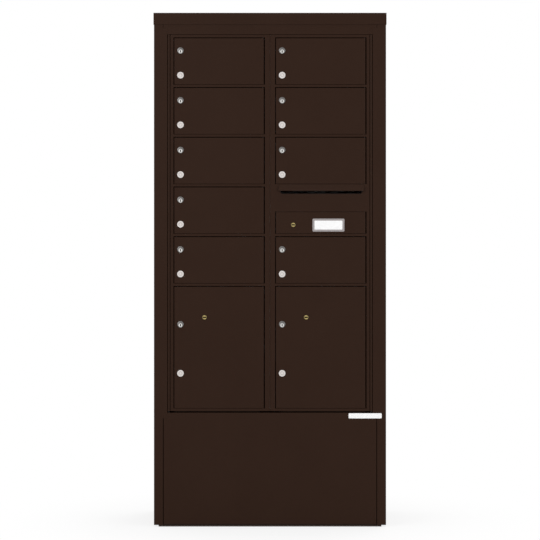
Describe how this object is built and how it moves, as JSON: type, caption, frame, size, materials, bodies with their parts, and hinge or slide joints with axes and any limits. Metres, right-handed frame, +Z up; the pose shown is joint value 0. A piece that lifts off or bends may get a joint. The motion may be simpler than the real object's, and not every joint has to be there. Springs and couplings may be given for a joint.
{
  "type": "cluster mailbox unit",
  "caption": "Free-standing double-column mailbox cabinet with locking tenant doors, parcel lockers, an outgoing-mail slot and two hinged master doors.",
  "frame": {"origin": "centre of the bounding box at floor level, under the base plate", "axes": "+Z up, -Y out of the front where the doors are, +X to the right when facing the front"},
  "size_m": [0.8336, 0.495, 1.838],
  "materials": {
    "powder_coat": "dark bronze powder coat, satin",
    "galvanised": "bare galvanised sheet inside the module",
    "steel": "plated steel pins and bolt",
    "nickel": "nickel-plated lock plugs",
    "brass": "worn brass lock plugs",
    "white_plate": "plain white, matt"
  },
  "bodies": {
    "cabinet": {"base_plate": "powder_coat", "lower_front_panel": "powder_coat", "side_panel_left": "powder_coat", "side_panel_right": "powder_coat", "back_panel": "powder_coat", "header_panel": "powder_coat", "top_cap": "powder_coat", "module_support_shelf": "galvanised", "front_badge": "white_plate", "module_floor": "powder_coat", "module_side_left": "galvanised", "module_side_right": "galvanised", "module_back": "galvanised", "module_top": "galvanised", "centre_partition": "galvanised", "shelf_left_1": "galvanised", "shelf_left_2": "galvanised", "shelf_left_3": "galvanised", "shelf_left_4": "galvanised", "shelf_left_5": "galvanised", "shelf_right_1": "galvanised", "shelf_right_2": "galvanised", "shelf_right_3": "galvanised", "shelf_right_4": "galvanised", "shelf_right_5": "galvanised", "master_hinge_pin_left": "steel", "master_hinge_pin_right": "steel"},
    "master_left": {"master_frame_left": "powder_coat", "door_hinge_rod_left": "steel"},
    "master_right": {"master_frame_right": "powder_coat", "door_hinge_rod_right": "steel", "mail_slot_hood": "powder_coat"},
    "tenant_door_left_1": {"tenant_door_left_1": "powder_coat"},
    "tenant_lock_left_1": {"tenant_lock_left_1": "nickel"},
    "tenant_door_left_2": {"tenant_door_left_2": "powder_coat"},
    "tenant_lock_left_2": {"tenant_lock_left_2": "nickel"},
    "tenant_door_left_3": {"tenant_door_left_3": "powder_coat"},
    "tenant_lock_left_3": {"tenant_lock_left_3": "nickel"},
    "tenant_door_left_4": {"tenant_door_left_4": "powder_coat"},
    "tenant_lock_left_4": {"tenant_lock_left_4": "nickel"},
    "tenant_door_left_5": {"tenant_door_left_5": "powder_coat"},
    "tenant_lock_left_5": {"tenant_lock_left_5": "nickel"},
    "parcel_door_left": {"parcel_door_left": "powder_coat"},
    "parcel_lock_left": {"parcel_lock_left": "nickel"},
    "carrier_lock_left": {"carrier_lock_left": "brass"},
    "tenant_door_right_1": {"tenant_door_right_1": "powder_coat"},
    "tenant_lock_right_1": {"tenant_lock_right_1": "nickel"},
    "tenant_door_right_2": {"tenant_door_right_2": "powder_coat"},
    "tenant_lock_right_2": {"tenant_lock_right_2": "nickel"},
    "tenant_door_right_3": {"tenant_door_right_3": "powder_coat"},
    "tenant_lock_right_3": {"tenant_lock_right_3": "nickel"},
    "tenant_door_right_4": {"tenant_door_right_4": "powder_coat"},
    "tenant_lock_right_4": {"tenant_lock_right_4": "nickel"},
    "parcel_door_right": {"parcel_door_right": "powder_coat"},
    "parcel_lock_right": {"parcel_lock_right": "nickel"},
    "carrier_lock_right": {"carrier_lock_right": "brass"},
    "outgoing_door": {"outgoing_door": "powder_coat", "label_plate": "white_plate"},
    "arrow_lock": {"arrow_lock": "brass"},
    "arrow_bolt": {"arrow_bolt": "steel"}
  },
  "joints": [
    {"name": "master_left_hinge", "type": "hinge", "parent": "cabinet", "child": "master_left", "pos_m": [-0.3618, -0.2303, 1.0867], "axis": [0, 0, -1], "range_deg": [0, 90]},
    {"name": "master_right_hinge", "type": "hinge", "parent": "cabinet", "child": "master_right", "pos_m": [0.3618, -0.2303, 1.0867], "axis": [0, 0, 1], "range_deg": [0, 90]},
    {"name": "tenant_door_left_1_hinge", "type": "hinge", "parent": "master_left", "child": "tenant_door_left_1", "pos_m": [-0.0254, -0.2315, 1.66485], "axis": [0, 0, 1], "range_deg": [0, 100]},
    {"name": "tenant_lock_left_1_turn", "type": "hinge", "parent": "tenant_door_left_1", "child": "tenant_lock_left_1", "pos_m": [-0.3202, -0.2355, 1.6999], "axis": [0, 1, 0], "range_deg": [0, 90]},
    {"name": "tenant_door_left_2_hinge", "type": "hinge", "parent": "master_left", "child": "tenant_door_left_2", "pos_m": [-0.0254, -0.2315, 1.48705], "axis": [0, 0, 1], "range_deg": [0, 100]},
    {"name": "tenant_lock_left_2_turn", "type": "hinge", "parent": "tenant_door_left_2", "child": "tenant_lock_left_2", "pos_m": [-0.3202, -0.2355, 1.5221], "axis": [0, 1, 0], "range_deg": [0, 90]},
    {"name": "tenant_door_left_3_hinge", "type": "hinge", "parent": "master_left", "child": "tenant_door_left_3", "pos_m": [-0.0254, -0.2315, 1.30925], "axis": [0, 0, 1], "range_deg": [0, 100]},
    {"name": "tenant_lock_left_3_turn", "type": "hinge", "parent": "tenant_door_left_3", "child": "tenant_lock_left_3", "pos_m": [-0.3202, -0.2355, 1.3443], "axis": [0, 1, 0], "range_deg": [0, 90]},
    {"name": "tenant_door_left_4_hinge", "type": "hinge", "parent": "master_left", "child": "tenant_door_left_4", "pos_m": [-0.0254, -0.2315, 1.13145], "axis": [0, 0, 1], "range_deg": [0, 100]},
    {"name": "tenant_lock_left_4_turn", "type": "hinge", "parent": "tenant_door_left_4", "child": "tenant_lock_left_4", "pos_m": [-0.3202, -0.2355, 1.1665], "axis": [0, 1, 0], "range_deg": [0, 90]},
    {"name": "tenant_door_left_5_hinge", "type": "hinge", "parent": "master_left", "child": "tenant_door_left_5", "pos_m": [-0.0254, -0.2315, 0.95365], "axis": [0, 0, 1], "range_deg": [0, 100]},
    {"name": "tenant_lock_left_5_turn", "type": "hinge", "parent": "tenant_door_left_5", "child": "tenant_lock_left_5", "pos_m": [-0.3202, -0.2355, 0.9887], "axis": [0, 1, 0], "range_deg": [0, 90]},
    {"name": "parcel_door_left_hinge", "type": "hinge", "parent": "master_left", "child": "parcel_door_left", "pos_m": [-0.0254, -0.2315, 0.64125], "axis": [0, 0, 1], "range_deg": [0, 100]},
    {"name": "parcel_lock_left_turn", "type": "hinge", "parent": "parcel_door_left", "child": "parcel_lock_left", "pos_m": [-0.3202, -0.2355, 0.7209], "axis": [0, 1, 0], "range_deg": [0, 90]},
    {"name": "carrier_lock_left_turn", "type": "hinge", "parent": "parcel_door_left", "child": "carrier_lock_left", "pos_m": [-0.2342, -0.2355, 0.749], "axis": [0, 1, 0], "range_deg": [0, 90]},
    {"name": "tenant_door_right_1_hinge", "type": "hinge", "parent": "master_right", "child": "tenant_door_right_1", "pos_m": [0.3382, -0.2315, 1.66485], "axis": [0, 0, 1], "range_deg": [0, 100]},
    {"name": "tenant_lock_right_1_turn", "type": "hinge", "parent": "tenant_door_right_1", "child": "tenant_lock_right_1", "pos_m": [0.0434, -0.2355, 1.6999], "axis": [0, 1, 0], "range_deg": [0, 90]},
    {"name": "tenant_door_right_2_hinge", "type": "hinge", "parent": "master_right", "child": "tenant_door_right_2", "pos_m": [0.3382, -0.2315, 1.48705], "axis": [0, 0, 1], "range_deg": [0, 100]},
    {"name": "tenant_lock_right_2_turn", "type": "hinge", "parent": "tenant_door_right_2", "child": "tenant_lock_right_2", "pos_m": [0.0434, -0.2355, 1.5221], "axis": [0, 1, 0], "range_deg": [0, 90]},
    {"name": "tenant_door_right_3_hinge", "type": "hinge", "parent": "master_right", "child": "tenant_door_right_3", "pos_m": [0.3382, -0.2315, 1.30925], "axis": [0, 0, 1], "range_deg": [0, 100]},
    {"name": "tenant_lock_right_3_turn", "type": "hinge", "parent": "tenant_door_right_3", "child": "tenant_lock_right_3", "pos_m": [0.0434, -0.2355, 1.3443], "axis": [0, 1, 0], "range_deg": [0, 90]},
    {"name": "tenant_door_right_4_hinge", "type": "hinge", "parent": "master_right", "child": "tenant_door_right_4", "pos_m": [0.3382, -0.2315, 0.95365], "axis": [0, 0, 1], "range_deg": [0, 100]},
    {"name": "tenant_lock_right_4_turn", "type": "hinge", "parent": "tenant_door_right_4", "child": "tenant_lock_right_4", "pos_m": [0.0434, -0.2355, 0.9887], "axis": [0, 1, 0], "range_deg": [0, 90]},
    {"name": "parcel_door_right_hinge", "type": "hinge", "parent": "master_right", "child": "parcel_door_right", "pos_m": [0.3382, -0.2315, 0.64125], "axis": [0, 0, 1], "range_deg": [0, 100]},
    {"name": "parcel_lock_right_turn", "type": "hinge", "parent": "parcel_door_right", "child": "parcel_lock_right", "pos_m": [0.0434, -0.2355, 0.7209], "axis": [0, 1, 0], "range_deg": [0, 90]},
    {"name": "carrier_lock_right_turn", "type": "hinge", "parent": "parcel_door_right", "child": "carrier_lock_right", "pos_m": [0.1294, -0.2355, 0.749], "axis": [0, 1, 0], "range_deg": [0, 90]},
    {"name": "outgoing_door_hinge", "type": "hinge", "parent": "master_right", "child": "outgoing_door", "pos_m": [0.3382, -0.2315, 1.08735], "axis": [0, 0, 1], "range_deg": [0, 100]},
    {"name": "arrow_lock_turn", "type": "hinge", "parent": "outgoing_door", "child": "arrow_lock", "pos_m": [0.0833, -0.2355, 1.0798], "axis": [0, 1, 0], "range_deg": [0, 90]},
    {"name": "arrow_bolt_slide", "type": "slide", "parent": "outgoing_door", "child": "arrow_bolt", "axis": [-1, 0, 0], "range_m": [0, 0.022]}
  ],
  "couplings": [
    {"joint": "arrow_bolt_slide", "follows": "arrow_lock_turn", "m_per_rad": 0.014}
  ]
}
